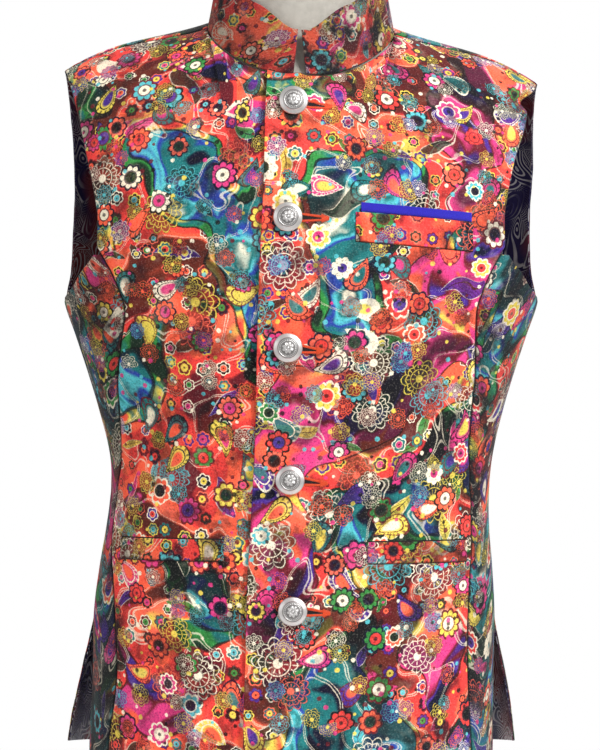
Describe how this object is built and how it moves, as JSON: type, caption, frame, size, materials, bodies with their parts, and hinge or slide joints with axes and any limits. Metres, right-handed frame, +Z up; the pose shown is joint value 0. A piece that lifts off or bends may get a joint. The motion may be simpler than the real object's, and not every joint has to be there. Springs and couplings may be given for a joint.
{
  "type": "nehru jacket on a limbless dress form",
  "caption": "Sleeveless nehru jacket with stand collar, metal buttons, welt pockets and side vents, buttoned up on a limbless linen dress form.",
  "frame": {"origin": "centre of the bounding box's underside, where the dress form stands on a surface", "axes": "+Z up, -Y out of the jacket's front, +X to the wearer's left"},
  "size_m": [0.4118, 0.252, 0.8],
  "materials": {
    "print_cloth": "brushed velvet-like cloth with an all-over multicolour print",
    "lining_satin": "glossy dark figured satin",
    "cobalt_cloth": "matte felt-like cloth",
    "button_metal": "silver-coloured cast metal, brushed dome with a raised rim",
    "form_linen": "plain-woven linen over a smooth hard form"
  },
  "bodies": {
    "root": {"front_left": "print_cloth", "front_right": "print_cloth", "side_left": "print_cloth", "side_right": "print_cloth", "back": "print_cloth", "back_lining": "lining_satin", "collar": "print_cloth", "chest_welt": "print_cloth", "chest_insert": "cobalt_cloth", "hip_welt_left": "print_cloth", "hip_welt_right": "print_cloth", "dress_form": "form_linen", "button_1": "button_metal", "button_2": "button_metal", "button_3": "button_metal", "button_4": "button_metal", "button_5": "button_metal"}
  },
  "joints": []
}
